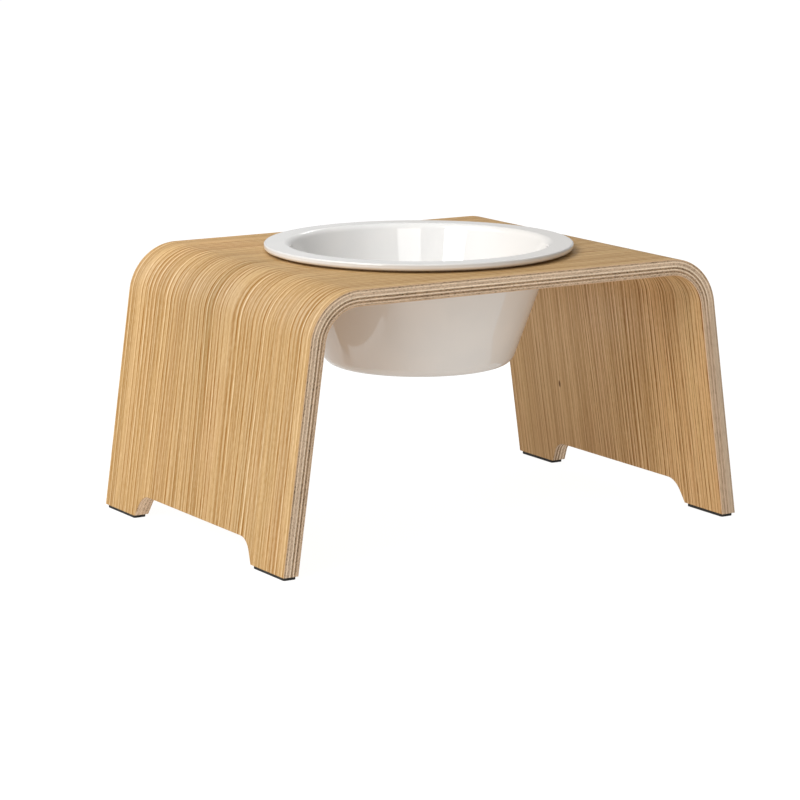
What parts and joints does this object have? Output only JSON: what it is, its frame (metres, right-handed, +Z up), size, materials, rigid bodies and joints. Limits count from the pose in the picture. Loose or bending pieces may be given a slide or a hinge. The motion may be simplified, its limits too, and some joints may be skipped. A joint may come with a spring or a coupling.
{
  "type": "elevated dog feeder",
  "caption": "Bent plywood feeding stand with splayed, notched legs on rubber pads; a white glazed bowl hangs by its flat rim in a round hole and lifts out.",
  "frame": {"origin": "on the floor, under the middle of the bowl: the bottom centre of the whole feeder's box", "axes": "+X from the left leg to the right leg, +Y from the front edge to the rear edge, +Z up"},
  "size_m": [0.3888, 0.2736, 0.2056],
  "materials": {
    "oak_veneer": "satin",
    "beech_cross": "matte",
    "beech_long": "matte",
    "porcelain": "gloss",
    "seal_rubber": "matte",
    "pad_rubber": "matte"
  },
  "bodies": {
    "stand": {"outer_oak_veneer": "oak_veneer", "core_ply_1_cross": "beech_cross", "core_ply_2_long": "beech_long", "core_ply_3_cross": "beech_cross", "core_ply_4_long": "beech_long", "core_ply_5_cross": "beech_cross", "core_ply_6_long": "beech_long", "core_ply_7_cross": "beech_cross", "core_ply_8_long": "beech_long", "core_ply_9_cross": "beech_cross", "inner_oak_veneer": "oak_veneer", "foot_pad_front_left": "pad_rubber", "foot_pad_front_right": "pad_rubber", "foot_pad_rear_left": "pad_rubber", "foot_pad_rear_right": "pad_rubber"},
    "ring": {"bowl_seal_ring": "seal_rubber"},
    "bowl": {"bowl": "porcelain"}
  },
  "joints": [
    {"name": "bowl_turn", "type": "hinge", "parent": "stand", "child": "ring", "pos_m": [0, 0, 0.199], "axis": [0, 0, 1], "continuous": true},
    {"name": "bowl_lift", "type": "slide", "parent": "ring", "child": "bowl", "axis": [0, 0, 1], "range_m": [0, 0.12]}
  ]
}
